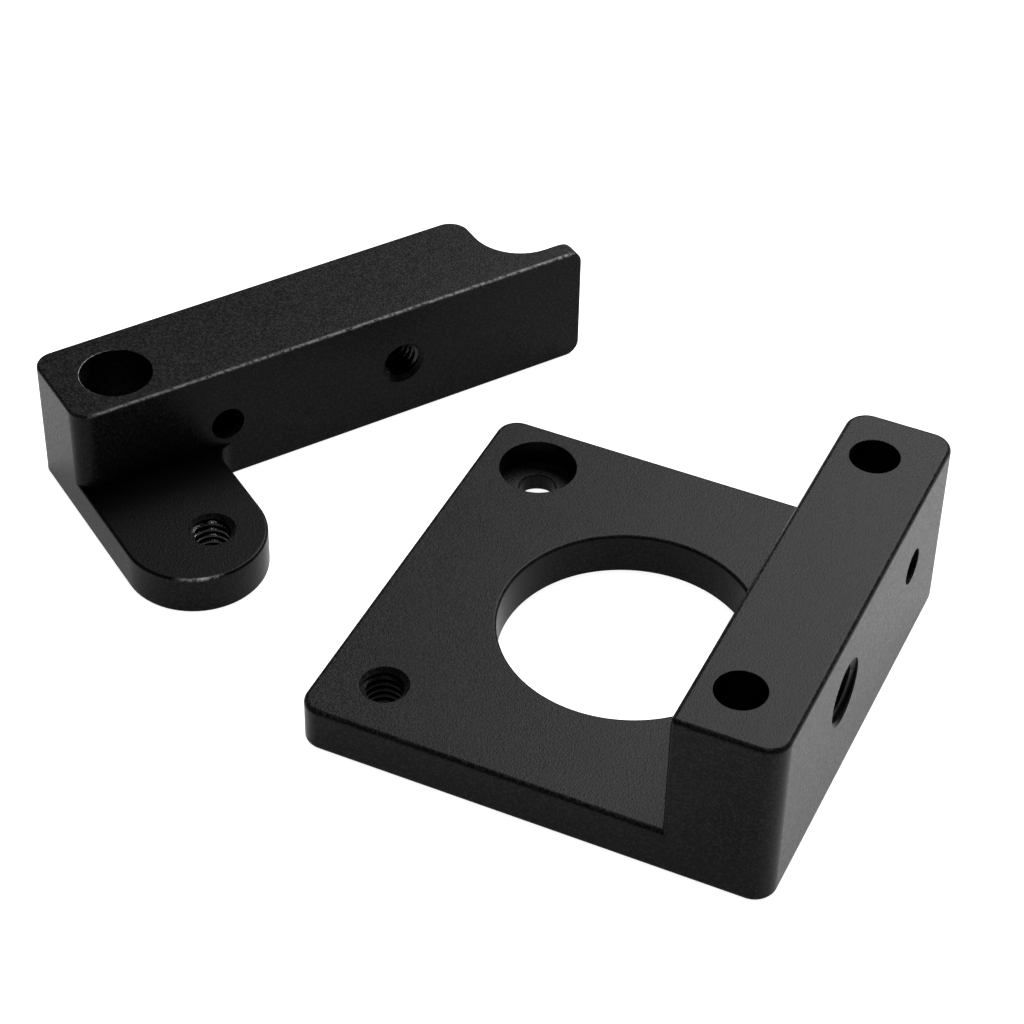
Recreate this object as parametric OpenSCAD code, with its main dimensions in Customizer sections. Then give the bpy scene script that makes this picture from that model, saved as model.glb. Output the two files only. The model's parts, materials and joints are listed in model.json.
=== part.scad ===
// Two-piece metal frame set for a geared filament feeder on a 42 mm stepper motor:
// a motor plate with a raised rail, and the idler lever that swings on it.
// Origin: the motor's axis at the plate's underside. +X points to the rail, +Z up.
// The lever lies beside the plate, on the same surface, turned about its pivot bore.

/* [Motor plate] */
// Width of the plate, rail included, along X
plate_w = 42.2; // [40:0.1:44]
// Depth of the plate along Y
plate_d = 41.7; // [40:0.1:43]
// Thickness of the plate
plate_t = 4.5; // [4:0.1:6]
// Radius of the upright outer corners
corner_r = 2; // [1:0.1:2.5]
// Diameter of the window around the motor's round boss
window_d = 22.5; // [22.2:0.1:23.4]
// Spacing of the motor's four screws, along X and along Y
motor_pitch = 31; // [30.8:0.1:31.2]

/* [Rail] */
// Width of the raised rail
rail_w = 9.4; // [9:0.1:9.6]
// Height of the rail's top above the underside
rail_h = 17.2; // [16:0.1:20]
// Radius of the rail's corner that stands on the plate at the front
rail_front_r = 0.5; // [0.3:0.1:1]
// Diameter of the two screw holes down through the rail
rail_screw_d = 4.3; // [3.4:0.1:4.5]

/* [Screw holes in the plate] */
// Diameter of the sunk motor screw's clearance hole
sunk_screw_d = 3.3; // [3.2:0.1:3.6]
// Diameter of the recess for that screw's head
sunk_head_d = 7; // [6:0.1:7.2]
// Depth of the recess
sunk_head_depth = 2.4; // [2:0.1:2.8]
// Tapping diameter of the lever's pivot screw hole
pivot_screw_d = 3.3; // [3.2:0.05:3.4]

/* [Holes across the rail] */
// Height of both cross holes above the underside
cross_z = 10.35; // [9:0.05:11]
// Tapping diameter of the filament outlet's fitting
outlet_d = 5; // [4.9:0.05:5.2]
// Place of the outlet along Y
outlet_y = -5.5; // [-7:0.1:-4]
// Diameter of the spring screw's hole
spring_hole_d = 3.2; // [3:0.1:3.6]
// Place of the spring screw's hole along Y
spring_hole_y = 11.2; // [9:0.1:12]

/* [Lever] */
// Length of the lever
lever_l = 52.1; // [50:0.1:56]
// Width of the lever's bar
lever_w = 10.3; // [9.5:0.1:11]
// Height of the lever's bar
lever_h = 12.2; // [11.5:0.1:12.5]
// Radius of the bar's upright corners beside the pivot
lever_corner_r = 1.9; // [1:0.1:2.5]
// Radius that rounds the bar's far end, seen from the front
lever_end_r = 1.4; // [0.5:0.1:2]
// Diameter of the pivot bore
pivot_bore_d = 6.6; // [6:0.1:7]
// Place of the pivot bore along the bar
pivot_u = 5.9; // [5.5:0.1:6.5]
// Place of the pivot bore across the bar, from its front face
pivot_v = 4.6; // [4.2:0.1:5.4]

/* [Bearing tab] */
// Width of the tab that carries the idler bearing
tab_w = 13; // [12:0.1:14]
// Reach of the tab from the bar's front face
tab_reach = 15.9; // [14:0.1:17]
// Thickness of the tab
tab_t = 3.9; // [3:0.1:5]
// Radius of the fillet between the tab's side and the bar
tab_fillet_r = 2; // [1:0.1:3]
// Tapping diameter of the bearing's screw hole
bearing_screw_d = 3.3; // [3.2:0.05:3.4]
// Place of the bearing's screw along the bar
bearing_u = 7.9; // [7:0.1:9]
// Place of the bearing's screw in front of the bar's front face
bearing_v = -10; // [-11:0.1:-9]

/* [Holes across the lever] */
// Height of both cross holes above the lever's underside
lever_cross_w = 6.1; // [5:0.1:7]
// Diameter of the filament's inlet
inlet_d = 3.2; // [2:0.1:3.4]
// Place of the inlet along the bar
inlet_u = 14.5; // [14:0.1:16]
// Tapping diameter of the spring screw
spring_screw_d = 3.3; // [3.2:0.05:3.4]
// Place of the spring screw along the bar
spring_screw_u = 32.7; // [30:0.1:34]

/* [Thumb notch] */
// Place along the bar where the notch starts
notch_u = 44.35; // [44:0.05:45]
// Thickness of metal left in front of the notch
notch_web = 2.05; // [2:0.05:3]
// Radius of the notch's hollow
notch_r = 4.8; // [4.5:0.1:5]
// Radius of the crest beside the notch
crest_r = 2; // [1:0.1:2.5]
// Radius of the web's back corner at the far end
web_corner_r = 1.6; // [0.5:0.1:2]

/* [Lever at rest] */
// Place of the lever's pivot axis along X
rest_x = -51.4; // [-60:0.1:-50]
// Place of the lever's pivot axis along Y
rest_y = 2.6; // [-10:0.1:10]
// Angle from +X to the lever's long axis, in degrees
rest_turn = 55; // [50:1:60]

/* [Hidden] */
$fn = 96;
// How far cutting tools run past the surfaces that they cut
over = 1;
half_w = plate_w / 2;
half_d = plate_d / 2;
half_pitch = motor_pitch / 2;
rail_x = half_w - rail_w;
tab_r = tab_w / 2;
anodised = [0.09, 0.09, 0.1];

// What is cut off to round a corner: the corner is at the origin,
// and the material lies towards (sx, sy)
module corner_waste(r, sx, sy) {
    difference() {
        translate([min(0, sx * r), min(0, sy * r)])
            square(r);
        translate([sx * r, sy * r])
            circle(r);
    }
}

// Upright hole from z0 upwards
module upright_hole(x, y, d, z0, h) {
    translate([x, y, z0])
        cylinder(d = d, h = h);
}

// Hole along X, from x0 onwards
module hole_along_x(x0, y, z, d, l) {
    translate([x0, y, z])
        rotate([0, 90, 0])
            cylinder(d = d, h = l);
}

// Hole along Y, from y0 onwards
module hole_along_y(x, y0, z, d, l) {
    translate([x, y0, z])
        rotate([-90, 0, 0])
            cylinder(d = d, h = l);
}

module plate_outline() {
    difference() {
        translate([-half_w, -half_d])
            square([plate_w, plate_d]);
        for (sx = [-1, 1], sy = [-1, 1])
            translate([sx * half_w, sy * half_d])
                corner_waste(corner_r, -sx, -sy);
    }
}

module rail_outline() {
    difference() {
        translate([rail_x, -half_d])
            square([rail_w, plate_d]);
        for (sy = [-1, 1])
            translate([half_w, sy * half_d])
                corner_waste(corner_r, -1, -sy);
        translate([rail_x, half_d])
            corner_waste(corner_r, 1, -1);
        translate([rail_x, -half_d])
            corner_waste(rail_front_r, 1, 1);
    }
}

// The motor plate and its raised rail, milled from one piece
module frame_block() {
    color(anodised)
        difference() {
            union() {
                linear_extrude(plate_t)
                    plate_outline();
                linear_extrude(rail_h)
                    rail_outline();
            }
            // Window around the motor's boss
            upright_hole(0, 0, window_d, -over, plate_t + 2 * over);
            // Motor screws through the rail
            for (sy = [-1, 1])
                upright_hole(half_pitch, sy * half_pitch, rail_screw_d, -over, rail_h + 2 * over);
            // Sunk motor screw under the lever's path
            upright_hole(-half_pitch, half_pitch, sunk_screw_d, -over, plate_t + 2 * over);
            upright_hole(-half_pitch, half_pitch, sunk_head_d, plate_t - sunk_head_depth,
                sunk_head_depth + over);
            // Screw that the lever pivots on
            upright_hole(-half_pitch, -half_pitch, pivot_screw_d, -over, plate_t + 2 * over);
            // Filament outlet and spring screw, across the rail
            hole_along_x(rail_x - over, outlet_y, cross_z, outlet_d, rail_w + 2 * over);
            hole_along_x(rail_x - over, spring_hole_y, cross_z, spring_hole_d, rail_w + 2 * over);
        }
}

// The thumb notch in the bar's back face, open at the far end
module notch_outline() {
    difference() {
        translate([notch_u, notch_web])
            square([lever_l - notch_u + over, lever_w - notch_web + over]);
        translate([notch_u, notch_web])
            corner_waste(notch_r, 1, 1);
    }
}

// The bar seen from above, in the lever's own axes: u along it, v across it
module bar_outline() {
    difference() {
        square([lever_l, lever_w]);
        corner_waste(lever_corner_r, 1, 1);
        translate([0, lever_w])
            corner_waste(lever_corner_r, 1, -1);
        notch_outline();
        translate([lever_l, notch_web])
            corner_waste(web_corner_r, -1, -1);
        translate([notch_u, lever_w])
            corner_waste(crest_r, -1, -1);
    }
}

// The bar seen from the front: its far end has round corners, top and bottom
module bar_side() {
    difference() {
        square([lever_l, lever_h]);
        for (top = [0, 1])
            translate([lever_l, top * lever_h])
                corner_waste(lever_end_r, -1, 1 - 2 * top);
    }
}

// The tab seen from above, with its round end and the fillet beside the bar
module tab_outline() {
    translate([0, tab_r - tab_reach])
        square([tab_w, tab_reach - tab_r + lever_corner_r]);
    translate([tab_r, tab_r - tab_reach])
        circle(tab_r);
    // A fillet fills what rounding the same corner would cut away
    translate([tab_w, 0])
        corner_waste(tab_fillet_r, 1, -1);
}

// The lever in its own axes, with its front face on v = 0
module lever_shape() {
    difference() {
        union() {
            intersection() {
                linear_extrude(lever_h)
                    bar_outline();
                translate([0, lever_w, 0])
                    rotate([90, 0, 0])
                        linear_extrude(lever_w)
                            bar_side();
            }
            linear_extrude(tab_t)
                tab_outline();
        }
        upright_hole(pivot_u, pivot_v, pivot_bore_d, -over, lever_h + 2 * over);
        upright_hole(bearing_u, bearing_v, bearing_screw_d, -over, tab_t + 2 * over);
        hole_along_y(inlet_u, -over, lever_cross_w, inlet_d, lever_w + 2 * over);
        hole_along_y(spring_screw_u, -over, lever_cross_w, spring_screw_d, lever_w + 2 * over);
    }
}

// The idler lever, lying beside the plate
module idler_lever() {
    color(anodised)
        translate([rest_x, rest_y, 0])
            rotate([0, 0, rest_turn])
                translate([-pivot_u, -pivot_v, 0])
                    lever_shape();
}

frame_block();
idler_lever();
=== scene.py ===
import json
import math

import bmesh
import bpy
from mathutils import Matrix, Vector


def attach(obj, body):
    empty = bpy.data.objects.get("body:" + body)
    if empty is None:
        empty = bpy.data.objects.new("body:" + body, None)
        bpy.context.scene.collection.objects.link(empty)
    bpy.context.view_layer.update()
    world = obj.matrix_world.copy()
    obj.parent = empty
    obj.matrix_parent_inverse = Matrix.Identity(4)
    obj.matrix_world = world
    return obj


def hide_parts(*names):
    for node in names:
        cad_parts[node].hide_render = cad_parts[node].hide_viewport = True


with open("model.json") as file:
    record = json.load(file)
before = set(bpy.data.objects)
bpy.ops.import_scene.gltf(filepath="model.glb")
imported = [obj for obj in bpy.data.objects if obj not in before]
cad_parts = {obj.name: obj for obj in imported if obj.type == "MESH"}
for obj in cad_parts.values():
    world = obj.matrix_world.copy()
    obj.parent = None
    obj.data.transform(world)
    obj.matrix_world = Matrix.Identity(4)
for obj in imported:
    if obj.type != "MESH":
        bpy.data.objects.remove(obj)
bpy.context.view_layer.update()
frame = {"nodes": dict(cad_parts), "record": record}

# Shapes are worked out in millimetres and degrees, and scaled to metres when they are finished.
MM = 0.001
# How far cutting tools run past the surfaces that they cut
OVER = 1.0
# Edges shorter than this are left over from cutting, and are closed up
SLIVER = 0.002
# Points of an outline that lie closer together than this are one point
SAME_POINT = 1e-4

# How finely round shapes are divided
EDGE_STEPS = 4
ARC_STEP = 5.0
BORE_SIDES = 96
WINDOW_SIDES = 180
THREAD_SIDES = 64
SHARP_ANGLE = 32.0

# The mouths of plain bores are rounded, and those of threads are chamfered
MOUTH_R = 0.08
THREAD_CHAMFER = 0.5

# The motor plate and its rail
FRAME_EDGE_R = 0.45
CORNER_R = 2.0
RAIL_FRONT_R = 0.5
WINDOW_RIM_R = 0.3
WINDOW_CHAMFER = 0.5

# The recess around the sunk screw, and the chamfers of the screw's own hole
RECESS_R = 3.5
RECESS_DEPTH = 2.4
SUNK_FOOT_CHAMFER = 0.5
SUNK_MOUTH_CHAMFER = 0.1

# The lever's bar and its tab
EDGE_R = 0.28
LEVER_CORNER_R = 1.9
LEVER_END_R = 1.4
TAB_W = 13.0
TAB_FILLET_R = 2.0
# How far the tab's outline runs on past its fillet, and how far it reaches into the bar
TAB_ROOT = 0.5
TAB_INSIDE = 3.0

# The thumb notch at the lever's far end
NOTCH_L = 7.75
NOTCH_WEB = 2.05
NOTCH_R = 4.8
CREST_R = 2.0
WEB_CORNER_R = 1.6

# Threads: major radius and pitch, how far a flank leans, and where two of them start
M4 = (2.0, 0.7)
M6 = (3.0, 1.0)
FLANK_ANGLE = 30.0
PIVOT_THREAD_START = 100.0
TAB_THREAD_START = 40.0
# How far a thread's tool reaches into its bore, so that the two tools overlap
THREAD_OVERLAP = 0.1
# Points up to this far outside a bore's radius belong to its thread
THREAD_REACH = 1.0
# How bare of its skin the outlet's thread is. The lever's threads are wholly bare, and the
# pivot screw's thread keeps its skin.
OUTLET_CUT = 0.5

# Painted highlight on the bar's upper front edge, drawn as chipped bare metal: its strength at
# the pivot's end, how much it gains on the way to the far end, and the length over which it fades
# out there
HIGHLIGHT_START = 0.25
HIGHLIGHT_GAIN = 2.0
HIGHLIGHT_FADE = 2.0
# Painted highlight on the pivot bore's rim and on the tab's round end: its strength or its half
# angle in radians, and the way it faces, seen from above in the lever's own axes
RIM_HIGHLIGHT = 0.7
RIM_HIGHLIGHT_WAY = (-0.8, 0.6)
TIP_HIGHLIGHT_REACH = 0.35
TIP_HIGHLIGHT_WAY = (-0.4, -1.0)

# Anodised skin, cut threads and the bare-metal grey of the painted edge highlight: tones,
# reflectance and roughness
# DYE_DARK is also the painted shade on the tab's top
DYE_DARK = (0.002, 0.0021, 0.0022, 1)
DYE_LIGHT = (0.0035, 0.0036, 0.0038, 1)
DYE_SPECK = (0.0135, 0.0135, 0.014, 1)
CUT_TONE = (0.02, 0.02, 0.02, 1)
HIGHLIGHT_TONE = (0.52, 0.52, 0.51, 1)
SKIN_SPECULAR = 0.036
SMOOTH_SKIN = 0.28
ROUGH_SKIN = 0.4
CUT_ROUGHNESS = 0.16
HIGHLIGHT_METALLIC = 0.4

# Blasted relief: the pits, how much of the height is grain instead, and how deep it is
PIT_SCALE = 7.5
PIT_SMOOTHNESS = 0.6
GRAIN_SHARE = 0.25
RELIEF_STRENGTH = 0.8
RELIEF_DEPTH = 0.02

# The light table: its half width in metres, how far it lies below the object, and its tone
FLOOR_REACH = 3
FLOOR_DROP = 0.02
FLOOR_TONE = (0.5, 0.5, 0.5, 1)
# Its glow is low in the middle and rises to two bright sides, from GLOW_NEAR to GLOW_FAR across
GLOW_MIDDLE = -19.5
GLOW_NEAR = 38.0
GLOW_FAR = 54.0
GLOW_LOW = 0.95
GLOW_HIGH = 1.3

# Camera: where it aims on the floor, and how it stands to that point
CAMERA_AIM = (-17.1, 13.52, 0.0)
CAMERA_DISTANCE = 268.05
CAMERA_HEADING = 24.0
CAMERA_PITCH = 41.45
CAMERA_ROLL = 1.15
CAMERA_LENS = 103.1
CAMERA_SENSOR = 36
CAMERA_NEAR_CLIP = 0.01


# ---------------------------------------------------------------- the frame's own sizes

mounts = {m["name"]: m for m in frame["record"]["mounts"]}


def mount_radius(name):
    """Radius of a round mount, in millimetres."""
    return mounts[name]["dims"]["r_mm"]


def mount_length(name):
    """Length of a round mount, in millimetres."""
    return mounts[name]["dims"]["length_mm"]


def mount_place(name):
    """Turns +Z into the mount's axis and the origin into its position, in millimetres."""
    axis = Vector(mounts[name]["axis"]).normalized()
    turn = Vector((0, 0, 1)).rotation_difference(axis).to_matrix().to_4x4()
    return Matrix.Translation(Vector(mounts[name]["pos_m"]) / MM) @ turn


def lever_place():
    """The lever's own axes: X along the bar, Y to its back face, origin on the pivot axis."""
    back = Vector(mounts["filament_inlet"]["axis"]).normalized()
    up = Vector((0, 0, 1))
    place = Matrix((back.cross(up), back, up)).transposed().to_4x4()
    pivot = Vector(mounts["lever_pivot"]["pos_m"]) / MM
    place.translation = (pivot.x, pivot.y, 0)
    return place


def node_box(node, axes=Matrix.Identity(4)):
    """Lowest and highest corners of a CAD node in the given axes, in millimetres."""
    inverse = axes.inverted()
    points = [inverse @ (v.co / MM) for v in frame["nodes"][node].data.vertices]
    low = Vector([min(p[i] for p in points) for i in range(3)])
    high = Vector([max(p[i] for p in points) for i in range(3)])
    return low, high


# ---------------------------------------------------------------- outlines and solids

def outline(*corners):
    """Points of a closed line through corners (x, y, radius), each rounded by its radius."""
    points = []
    for i, (x, y, r) in enumerate(corners):
        here = Vector((x, y))
        to_last = (Vector(corners[i - 1][:2]) - here).normalized()
        to_next = (Vector(corners[(i + 1) % len(corners)][:2]) - here).normalized()
        if r == 0:
            points.append(here)
            continue
        half = to_last.angle(to_next) / 2
        centre = here + (to_last + to_next).normalized() * (r / math.sin(half))
        start = here + to_last * (r / math.tan(half)) - centre
        turn = math.pi - 2 * half
        if to_last.cross(to_next) > 0:
            turn = -turn
        steps = max(2, math.ceil(math.degrees(abs(turn)) / ARC_STEP))
        turns = [Matrix.Rotation(turn * k / steps, 2) for k in range(steps + 1)]
        points += [centre + part @ start for part in turns]
    return [p for i, p in enumerate(points) if (p - points[i - 1]).length > SAME_POINT]


def circle(r, sides=BORE_SIDES):
    """Points of a circle around the origin."""
    turns = [2 * math.pi * k / sides for k in range(sides)]
    return [Vector((r * math.cos(a), r * math.sin(a))) for a in turns]


def grown(points, d):
    """The closed line moved outwards by d, with mitred corners. Its points run anticlockwise."""
    moved = []
    for i, p in enumerate(points):
        a = (p - points[i - 1]).normalized()
        b = (points[(i + 1) % len(points)] - p).normalized()
        normal_a = Vector((a.y, -a.x))
        normal_b = Vector((b.y, -b.x))
        moved.append(p + (normal_a + normal_b) * (d / (1 + normal_a.dot(normal_b))))
    return moved


def break_levels(z, r, inwards):
    """Levels (height, growth) of a round edge at height z. inwards is 1 if the solid is above."""
    angles = [math.radians(90 * k / EDGE_STEPS) for k in range(EDGE_STEPS + 1)]
    return [(z + inwards * r * (1 - math.cos(a)), r * (math.sin(a) - 1)) for a in angles]


def solid_levels(z0, z1, r0=EDGE_R, r1=EDGE_R):
    """Levels of a solid with its edges rounded by r0 below and r1 above. 0 leaves one sharp."""
    low = break_levels(z0, r0, 1) if r0 else [(z0, 0)]
    high = break_levels(z1, r1, -1)[::-1] if r1 else [(z1, 0)]
    return low + high


def cutter_levels(z0, z1, r0=EDGE_R, r1=EDGE_R):
    """Levels of a tool that cuts from z0 to z1 and rounds the edges of what it leaves."""
    levels = [(z, -growth) for z, growth in solid_levels(z0, z1, r0, r1)]
    return [(z0 - OVER, r0)] + levels + [(z1 + OVER, r1)]


def chamfer_levels(z0, z1, c0, c1):
    """Levels of a tool that cuts from z0 to z1 with chamfered mouths."""
    return [(z0 - OVER, c0), (z0, c0), (z0 + c0, 0), (z1 - c1, 0), (z1, c1), (z1 + OVER, c1)]


def to_object(name, mesh):
    """Turns a bmesh into an object in the scene."""
    data = bpy.data.meshes.new(name)
    mesh.to_mesh(data)
    mesh.free()
    solid = bpy.data.objects.new(name, data)
    bpy.context.scene.collection.objects.link(solid)
    return solid


def stack(points, levels, place=Matrix.Identity(4), name="tool"):
    """A closed solid with the outline as its cross-section, grown at each level."""
    mesh = bmesh.new()
    rings = [[mesh.verts.new((*p, z)) for p in grown(points, growth)] for z, growth in levels]
    for low, high in zip(rings, rings[1:]):
        for i in range(len(low)):
            mesh.faces.new((low[i - 1], low[i], high[i], high[i - 1]))
    mesh.faces.new(rings[0][::-1])
    mesh.faces.new(rings[-1])
    mesh.transform(place)
    return to_object(name, mesh)


def thread_tool(bore_r, thread, z0, z1, place, start=0.0):
    """A right-hand helical ridge from z0 to z1, which cuts a thread's groove into a bore."""
    major_r, pitch = thread
    root_r = bore_r - THREAD_OVERLAP
    # The groove's floor is an eighth of the pitch wide
    crest = pitch / 16
    base = crest + (major_r - root_r) * math.tan(math.radians(FLANK_ANGLE))
    profile = [(-base, root_r), (-crest, major_r), (crest, major_r), (base, root_r)]
    turns = math.ceil((z1 - z0) / pitch) + 2
    rows = [(z0 + pitch * (k - 1) + dz, r) for k in range(turns) for dz, r in profile]
    mesh = bmesh.new()
    grid = []
    for i in range(THREAD_SIDES):
        angle = 2 * math.pi * i / THREAD_SIDES + math.radians(start)
        rise = pitch * i / THREAD_SIDES
        x, y = math.cos(angle), math.sin(angle)
        grid.append([mesh.verts.new((r * x, r * y, z + rise)) for z, r in rows])
    lead = len(profile)
    last = len(rows) - 1
    for i in range(THREAD_SIDES - 1):
        for a in range(last):
            mesh.faces.new((grid[i][a], grid[i + 1][a], grid[i + 1][a + 1], grid[i][a + 1]))
    for a in range(last - lead):
        b = a + lead
        mesh.faces.new((grid[-1][a], grid[0][b], grid[0][b + 1], grid[-1][a + 1]))
    low_loop = [column[0] for column in grid] + grid[0][lead:0:-1]
    high_loop = [column[last] for column in grid] + grid[-1][last - 1:last - lead - 1:-1]
    low_tip = mesh.verts.new((0, 0, rows[0][0] - pitch))
    high_tip = mesh.verts.new((0, 0, rows[-1][0] + 2 * pitch))
    for i in range(len(low_loop)):
        mesh.faces.new((low_loop[i], low_loop[i - 1], low_tip))
    for i in range(len(high_loop)):
        mesh.faces.new((high_loop[i - 1], high_loop[i], high_tip))
    mesh.transform(place)
    return to_object("thread_tool", mesh)


def combine(solid, operation, *tools):
    """Adds the tools to the solid or cuts them away, and removes them."""
    for tool in tools:
        step = solid.modifiers.new(operation, "BOOLEAN")
        step.operation = operation
        step.solver = "MANIFOLD"
        step.object = tool
    bpy.context.view_layer.update()
    graph = bpy.context.evaluated_depsgraph_get()
    data = bpy.data.meshes.new_from_object(solid.evaluated_get(graph))
    solid.modifiers.clear()
    solid.data = data
    for tool in tools:
        bpy.data.objects.remove(tool)


def bore_tools(name, axes=Matrix.Identity(4), thread=None, start=0.0):
    """Tools that cut a round mount along its whole length, as seen in the given axes.

    A plain bore has rounded mouths. A threaded one has chamfered mouths.
    """
    place = axes.inverted() @ mount_place(name)
    r = mount_radius(name)
    half = mount_length(name) / 2
    if not thread:
        return [stack(circle(r), cutter_levels(-half, half, MOUTH_R, MOUTH_R), place)]
    bore = stack(circle(r), chamfer_levels(-half, half, THREAD_CHAMFER, THREAD_CHAMFER), place)
    return [bore, thread_tool(r, thread, -half - OVER, half + OVER, place, start)]


def finish_mesh(solid):
    """Closes up slivers that cutting left, scales to metres and smooths the round faces."""
    mesh = bmesh.new()
    mesh.from_mesh(solid.data)
    bmesh.ops.remove_doubles(mesh, verts=mesh.verts, dist=SLIVER)
    bmesh.ops.dissolve_degenerate(mesh, edges=mesh.edges, dist=SLIVER)
    bmesh.ops.scale(mesh, vec=(MM, MM, MM), verts=mesh.verts)
    mesh.to_mesh(solid.data)
    mesh.free()
    for face in solid.data.polygons:
        face.use_smooth = True
    solid.data.set_sharp_from_angle(angle=math.radians(SHARP_ANGLE))
    step = solid.modifiers.new("flat_faces", "WEIGHTED_NORMAL")
    step.keep_sharp = True
    step.mode = "FACE_AREA"
    graph = bpy.context.evaluated_depsgraph_get()
    data = bpy.data.meshes.new_from_object(solid.evaluated_get(graph))
    solid.modifiers.clear()
    solid.data = data


# ---------------------------------------------------------------- the two pieces

def make_frame_block():
    """The motor plate and its rail, with broken edges and real threads."""
    low, high = node_box("frame_block")
    plate_top = mount_length("pivot_screw")
    rail_x = high.x - mount_length("filament_outlet")
    plate_line = outline(
        (low.x, low.y, CORNER_R),
        (high.x, low.y, CORNER_R),
        (high.x, high.y, CORNER_R),
        (low.x, high.y, CORNER_R),
    )
    rail_line = outline(
        (rail_x, low.y, RAIL_FRONT_R),
        (high.x, low.y, CORNER_R),
        (high.x, high.y, CORNER_R),
        (rail_x, high.y, CORNER_R),
    )
    plate_levels = solid_levels(0, plate_top, FRAME_EDGE_R, FRAME_EDGE_R)
    block = stack(plate_line, plate_levels, name="frame_block_visual")
    window_foot = chamfer_levels(0, plate_top, WINDOW_CHAMFER, 0)[:3]
    window_rim = cutter_levels(0, plate_top, 0, WINDOW_RIM_R)[2:]
    window = circle(mount_radius("motor_boss"), WINDOW_SIDES)
    combine(block, "DIFFERENCE", stack(window, window_foot + window_rim))
    rail_levels = solid_levels(plate_top / 2, high.z, 0, FRAME_EDGE_R)
    combine(block, "UNION", stack(rail_line, rail_levels))
    recess_floor = plate_top - RECESS_DEPTH
    sunk = Matrix.Translation(Vector(mounts["sunk_screw"]["pos_m"]) / MM)
    sunk.translation.z = 0
    recess_levels = cutter_levels(recess_floor, plate_top, 0, MOUTH_R)[1:]
    hole_levels = chamfer_levels(0, recess_floor, SUNK_FOOT_CHAMFER, SUNK_MOUTH_CHAMFER)
    tools = [stack(circle(RECESS_R), recess_levels, sunk)]
    tools.append(stack(circle(mount_radius("sunk_screw")), hole_levels, sunk))
    for name in ("rail_screw_front", "rail_screw_back", "spring_screw_end"):
        tools += bore_tools(name)
    tools += bore_tools("pivot_screw", thread=M4, start=PIVOT_THREAD_START)
    tools += bore_tools("filament_outlet", thread=M6)
    combine(block, "DIFFERENCE", *tools)
    finish_mesh(block)
    mark(block, "cut", lambda p: OUTLET_CUT * in_thread(p, "filament_outlet"))
    return block


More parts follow.
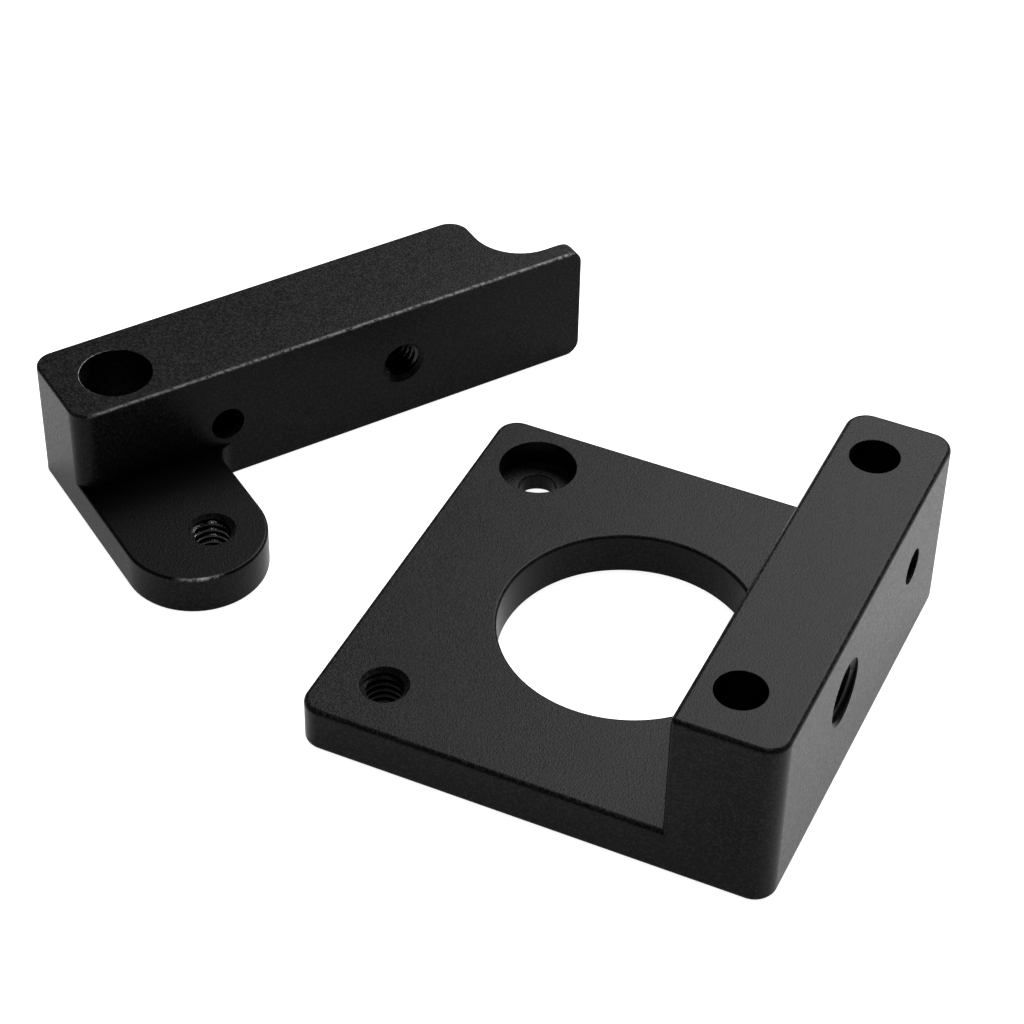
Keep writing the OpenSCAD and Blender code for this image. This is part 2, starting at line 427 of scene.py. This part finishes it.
def make_idler_lever():
    """The lever, with its tab, thumb notch, rounded far end and real threads."""
    axes = lever_place()
    low, high = node_box("idler_lever", axes)
    front = high.y - mount_length("filament_inlet")
    tab_top = mount_length("bearing_screw")
    lay_flat = Matrix.Rotation(math.radians(90), 4, "X")
    side_line = outline(
        (low.x - OVER, 0, 0),
        (high.x, 0, LEVER_END_R),
        (high.x, high.z, LEVER_END_R),
        (low.x - OVER, high.z, 0),
    )
    lever = stack(side_line, solid_levels(-high.y, -front), lay_flat, "idler_lever_visual")
    corner_x = low.x + LEVER_CORNER_R
    near_end = outline(
        (low.x - 2 * OVER, front - OVER, 0),
        (corner_x, front - OVER, 0),
        (corner_x, front, 0),
        (low.x, front, LEVER_CORNER_R),
        (low.x, high.y, LEVER_CORNER_R),
        (corner_x, high.y, 0),
        (corner_x, high.y + OVER, 0),
        (low.x - 2 * OVER, high.y + OVER, 0),
    )
    notch_x = high.x - NOTCH_L
    web_y = front + NOTCH_WEB
    notch = outline(
        (high.x + OVER, high.y + OVER, 0),
        (notch_x - CREST_R, high.y + OVER, 0),
        (notch_x - CREST_R, high.y, 0),
        (notch_x, high.y, CREST_R),
        (notch_x, web_y, NOTCH_R),
        (high.x, web_y, WEB_CORNER_R),
        (high.x, web_y - WEB_CORNER_R, 0),
        (high.x + OVER, web_y - WEB_CORNER_R, 0),
    )
    bar_levels = cutter_levels(0, high.z)
    combine(lever, "DIFFERENCE", stack(near_end, bar_levels), stack(notch, bar_levels))
    tab_r = TAB_W / 2
    tab_right = low.x + TAB_W
    fillet_end = tab_right + TAB_FILLET_R + TAB_ROOT
    inside = front + TAB_INSIDE
    tab_line = outline(
        (low.x, inside, 0),
        (low.x, low.y, tab_r),
        (tab_right, low.y, tab_r),
        (tab_right, front, TAB_FILLET_R),
        (fillet_end, front, 0),
        (fillet_end, inside, 0),
    )
    combine(lever, "UNION", stack(tab_line, solid_levels(0, tab_top)))
    tools = bore_tools("lever_pivot", axes) + bore_tools("filament_inlet", axes)
    tools += bore_tools("bearing_screw", axes, thread=M4, start=TAB_THREAD_START)
    tools += bore_tools("spring_screw", axes, thread=M4)
    combine(lever, "DIFFERENCE", *tools)
    lever.data.transform(axes)
    finish_mesh(lever)
    pivot = axes.inverted() @ mount_place("lever_pivot").translation

    def cut(p):
        """1 on the walls of the lever's two threads."""
        return max(in_thread(p, name, axes) for name in ("bearing_screw", "spring_screw"))

    def edge_highlight(p):
        """Painted highlight on the bar's upper front edge, the pivot bore's upper rim and the
        tab's end, drawn as chipped bare metal.
        """
        along = (p.x - low.x) / (high.x - low.x)
        strength = min(HIGHLIGHT_START + HIGHLIGHT_GAIN * along, (high.x - p.x) / HIGHLIGHT_FADE)
        bar = on_edge(p.y - front, high.z - p.z, EDGE_R) * strength
        from_pivot = p.xy - pivot.xy
        facing = max(0.0, from_pivot.normalized().dot(Vector(RIM_HIGHLIGHT_WAY)))
        across = from_pivot.length - mount_radius("lever_pivot")
        rim = on_edge(across, high.z - p.z, MOUTH_R) * facing * RIM_HIGHLIGHT
        from_tip = p.xy - Vector((low.x + tab_r, low.y + tab_r))
        ahead = near(from_tip.angle(Vector(TIP_HIGHLIGHT_WAY), math.pi), 0, TIP_HIGHLIGHT_REACH)
        tip = on_edge(tab_r - from_tip.length, tab_top - p.z, EDGE_R) * ahead
        return max(bar, rim, tip)

    def tab_shade(p):
        """1 on the tab's flat top, which gets painted shade from the bar behind it."""
        return 1.0 if p.y < front and abs(p.z - tab_top) < EDGE_R / 2 else 0.0

    mark(lever, "cut", cut, axes)
    # Painted highlight along the lever's edges, in bare-metal grey
    mark(lever, "painted_highlight", edge_highlight, axes)
    # Painted shade on the tab's top, where the bar behind it shades it
    mark(lever, "tab_shade", tab_shade, axes, lever.data.polygons)
    return lever


# ---------------------------------------------------------------- materials

def mark(solid, name, weight, axes=Matrix.Identity(4), faces=None):
    """Stores weight(point) for the material to read, on each vertex, or on the given faces.

    The points are in millimetres, in the given axes.
    """
    inverse = axes.inverted()
    if faces:
        places = [face.center for face in faces]
    else:
        places = [vertex.co for vertex in solid.data.vertices]
    marks = solid.data.attributes.new(name, "FLOAT", "FACE" if faces else "POINT")
    for place, value in zip(places, marks.data):
        value.value = weight(inverse @ (place / MM))


def near(value, target, reach):
    """1 at the target, falling to 0 at reach from it."""
    return max(0.0, 1 - abs(value - target) / reach)


def on_edge(across, down, r):
    """1 along the middle of an edge rounded by r, 0 where the rounding meets its two faces."""
    middle = 0.3 * r
    return near(across, middle, 2 * middle) * near(down, middle, 2 * middle)


def in_thread(point, name, axes=Matrix.Identity(4)):
    """1 for a point on the wall of a threaded mount, 0 outside it and at its mouths."""
    local = (axes.inverted() @ mount_place(name)).inverted() @ point
    inside = abs(local.z) < mount_length(name) / 2 - THREAD_CHAMFER
    return 1.0 if inside and local.xy.length < mount_radius(name) + THREAD_REACH else 0.0


def mix(tree, factor, a, b, kind="FLOAT"):
    """A Mix node between a and b, which are numbers, colours or sockets."""
    node = tree.nodes.new("ShaderNodeMix")
    node.data_type = kind
    sockets = {"FLOAT": (2, 3, 0), "RGBA": (6, 7, 2)}[kind]
    for place, value in ((0, factor), (sockets[0], a), (sockets[1], b)):
        if isinstance(value, bpy.types.NodeSocket):
            tree.links.new(value, node.inputs[place])
        else:
            node.inputs[place].default_value = value
    return node.outputs[sockets[2]]


def noise(tree, coordinates, scale, detail, low, high):
    """Noise with features of about 1 / scale mm, stretched so that low to high becomes 0 to 1."""
    texture = tree.nodes.new("ShaderNodeTexNoise")
    texture.inputs["Scale"].default_value = scale
    texture.inputs["Detail"].default_value = detail
    spread = tree.nodes.new("ShaderNodeMapRange")
    spread.inputs["From Min"].default_value = low
    spread.inputs["From Max"].default_value = high
    tree.links.new(coordinates, texture.inputs["Vector"])
    tree.links.new(texture.outputs["Fac"], spread.inputs["Value"])
    return spread.outputs["Result"]


def product(tree, a, b):
    """a times b, kept between 0 and 1."""
    node = tree.nodes.new("ShaderNodeMath")
    node.operation = "MULTIPLY"
    node.use_clamp = True
    tree.links.new(a, node.inputs[0])
    tree.links.new(b, node.inputs[1])
    return node.outputs[0]


def attribute(tree, name):
    """What mark() stored under this name."""
    node = tree.nodes.new("ShaderNodeAttribute")
    node.attribute_name = name
    return node.outputs["Fac"]


def anodised(name, seed):
    """Bead-blasted aluminium under a black anodised skin, with cut threads, a painted highlight
    along the lever's edges drawn as bare metal, and painted shade on the tab's top.

    seed moves the speckle, so that no two pieces have the same.
    """
    material = bpy.data.materials.new(name)
    material.use_nodes = True
    tree = material.node_tree
    link = tree.links.new
    place = tree.nodes.new("ShaderNodeTexCoord")
    scaled = tree.nodes.new("ShaderNodeMapping")
    scaled.inputs["Scale"].default_value = (1 / MM, 1 / MM, 1 / MM)
    scaled.inputs["Location"].default_value = (seed, seed, seed)
    link(place.outputs["Object"], scaled.inputs["Vector"])
    millimetres = scaled.outputs["Vector"]

    pits = tree.nodes.new("ShaderNodeTexVoronoi")
    pits.feature = "SMOOTH_F1"
    pits.inputs["Scale"].default_value = PIT_SCALE
    pits.inputs["Smoothness"].default_value = PIT_SMOOTHNESS
    link(millimetres, pits.inputs["Vector"])
    grain = noise(tree, millimetres, scale=4.5, detail=2.0, low=0.3, high=0.7)
    clouds = noise(tree, millimetres, scale=0.35, detail=3.0, low=0.3, high=0.7)
    highlight_dots = noise(tree, millimetres, scale=3.0, detail=3.0, low=0.3, high=0.58)
    cut = attribute(tree, "cut")
    # Painted highlight where the lever's edges catch the light, broken into dots
    edge_highlight = product(tree, attribute(tree, "painted_highlight"), highlight_dots)

    dye = mix(tree, clouds, DYE_DARK, DYE_LIGHT, "RGBA")
    dye = mix(tree, product(tree, grain, grain), dye, DYE_SPECK, "RGBA")
    # Painted shade: the tab's top is drawn in the darkest tone, as shade from the bar
    dye = mix(tree, attribute(tree, "tab_shade"), dye, DYE_DARK, "RGBA")
    dye = mix(tree, cut, dye, CUT_TONE, "RGBA")
    # The painted highlight turns the colour to bare-metal grey and the surface partly metallic
    colour = mix(tree, edge_highlight, dye, HIGHLIGHT_TONE, "RGBA")
    rough = mix(tree, cut, mix(tree, grain, SMOOTH_SKIN, ROUGH_SKIN), CUT_ROUGHNESS)
    metal = mix(tree, cut, mix(tree, edge_highlight, 0.0, HIGHLIGHT_METALLIC), 1.0)
    relief = mix(tree, GRAIN_SHARE, pits.outputs["Distance"], grain)

    bump = tree.nodes.new("ShaderNodeBump")
    bump.inputs["Strength"].default_value = RELIEF_STRENGTH
    bump.inputs["Distance"].default_value = RELIEF_DEPTH * MM
    link(relief, bump.inputs["Height"])

    shader = tree.nodes["Principled BSDF"]
    shader.inputs["Specular IOR Level"].default_value = SKIN_SPECULAR
    link(metal, shader.inputs["Metallic"])
    link(colour, shader.inputs["Base Color"])
    link(rough, shader.inputs["Roughness"])
    link(bump.outputs["Normal"], shader.inputs["Normal"])
    return material


def paint(solid, material):
    """Gives the whole solid one material."""
    solid.data.materials.clear()
    solid.data.materials.append(material)


# ---------------------------------------------------------------- studio

def make_camera():
    """The camera, turned and tilted around the point that it aims at."""
    data = bpy.data.cameras.new("camera")
    data.lens = CAMERA_LENS
    data.sensor_width = CAMERA_SENSOR
    data.clip_start = CAMERA_NEAR_CLIP
    camera = bpy.data.objects.new("camera", data)
    bpy.context.scene.collection.objects.link(camera)
    turn = Matrix.Rotation(math.radians(CAMERA_HEADING), 4, "Z")
    tilt = Matrix.Rotation(math.radians(90 - CAMERA_PITCH), 4, "X")
    roll = Matrix.Rotation(math.radians(CAMERA_ROLL), 4, "Z")
    back = Matrix.Translation((0, 0, CAMERA_DISTANCE * MM))
    aim = Matrix.Translation(Vector(CAMERA_AIM) * MM)
    camera.matrix_world = aim @ turn @ tilt @ roll @ back
    bpy.context.scene.camera = camera


def make_floor():
    """A white light table. It glows a little more to the left and right of the object."""
    mesh = bmesh.new()
    bmesh.ops.create_grid(mesh, x_segments=1, y_segments=1, size=FLOOR_REACH)
    floor = to_object("floor", mesh)
    floor.location.z = -FLOOR_DROP * MM
    material = bpy.data.materials.new("white_floor")
    material.use_nodes = True
    tree = material.node_tree
    place = tree.nodes.new("ShaderNodeTexCoord")
    axes = tree.nodes.new("ShaderNodeSeparateXYZ")
    offset = tree.nodes.new("ShaderNodeMath")
    offset.operation = "ADD"
    offset.inputs[1].default_value = -GLOW_MIDDLE * MM
    side = tree.nodes.new("ShaderNodeMath")
    side.operation = "ABSOLUTE"
    glow = tree.nodes.new("ShaderNodeMapRange")
    glow.interpolation_type = "SMOOTHSTEP"
    glow.inputs["From Min"].default_value = GLOW_NEAR * MM
    glow.inputs["From Max"].default_value = GLOW_FAR * MM
    glow.inputs["To Min"].default_value = GLOW_LOW
    glow.inputs["To Max"].default_value = GLOW_HIGH
    shader = tree.nodes["Principled BSDF"]
    shader.inputs["Base Color"].default_value = FLOOR_TONE
    shader.inputs["Specular IOR Level"].default_value = 0.0
    shader.inputs["Emission Color"].default_value = (1, 1, 1, 1)
    tree.links.new(place.outputs["Object"], axes.inputs[0])
    tree.links.new(axes.outputs["X"], offset.inputs[0])
    tree.links.new(offset.outputs[0], side.inputs[0])
    tree.links.new(side.outputs[0], glow.inputs["Value"])
    tree.links.new(glow.outputs["Result"], shader.inputs["Emission Strength"])
    floor.data.materials.append(material)


def softbox(name, place, size, power):
    """A square softbox that faces the origin. Its place and size are in metres."""
    data = bpy.data.lights.new(name, "AREA")
    data.shape = "RECTANGLE"
    data.size = data.size_y = size
    data.energy = power
    light = bpy.data.objects.new(name, data)
    light.location = place
    light.rotation_euler = (-Vector(place)).to_track_quat("-Z", "Y").to_euler()
    bpy.context.scene.collection.objects.link(light)


def make_world(strength):
    """Even, dim surroundings."""
    world = bpy.data.worlds.new("world")
    world.use_nodes = True
    world.node_tree.nodes["Background"].inputs["Strength"].default_value = strength
    bpy.context.scene.world = world


make_camera()
make_floor()
make_world(strength=0.6)
# A small lamp overhead for the glints in the threads, and the large softbox behind
softbox("glint", place=(0.039, -0.087, 0.49), size=0.06, power=0.3)
softbox("key", place=(0.03, 0.96, 1.16), size=0.9, power=51)
bpy.context.scene.view_settings.view_transform = "Standard"

frame_block = make_frame_block()
paint(frame_block, anodised("anodised_frame", seed=3.0))
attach(frame_block, "frame")
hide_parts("frame_block")

idler_lever = make_idler_lever()
paint(idler_lever, anodised("anodised_lever", seed=7.0))
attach(idler_lever, "lever")
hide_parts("idler_lever")
